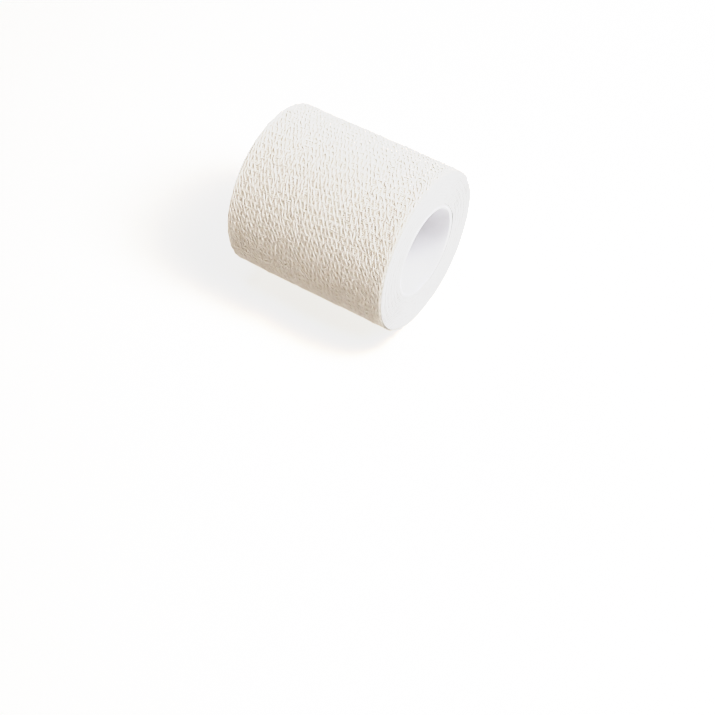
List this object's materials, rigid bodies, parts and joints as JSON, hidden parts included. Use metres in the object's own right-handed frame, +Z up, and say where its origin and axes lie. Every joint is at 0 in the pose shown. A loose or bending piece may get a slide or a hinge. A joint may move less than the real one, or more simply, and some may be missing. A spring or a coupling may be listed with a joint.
{
  "type": "cohesive bandage roll",
  "caption": "Cylindrical roll of crinkled off-white cohesive gauze bandage, wound on an open white board core and lying on its side.",
  "frame": {"origin": "on the floor under the middle of the roll, in the middle of the flat spot it rests on", "axes": "+X along the roll's axis, towards the end that faces the camera in the picture; +Z up; the cut end of the strip lies on the +Y side"},
  "size_m": [0.0749, 0.0716, 0.0705],
  "materials": {
    "bandage_cloth": "matt crinkled open weave, off-white, with raised zigzag wales and darker pits between them",
    "core_board": "smooth matt white board, wound with a faint spiral seam"
  },
  "bodies": {
    "root": {"bandage": "bandage_cloth", "core": "core_board"}
  },
  "joints": []
}
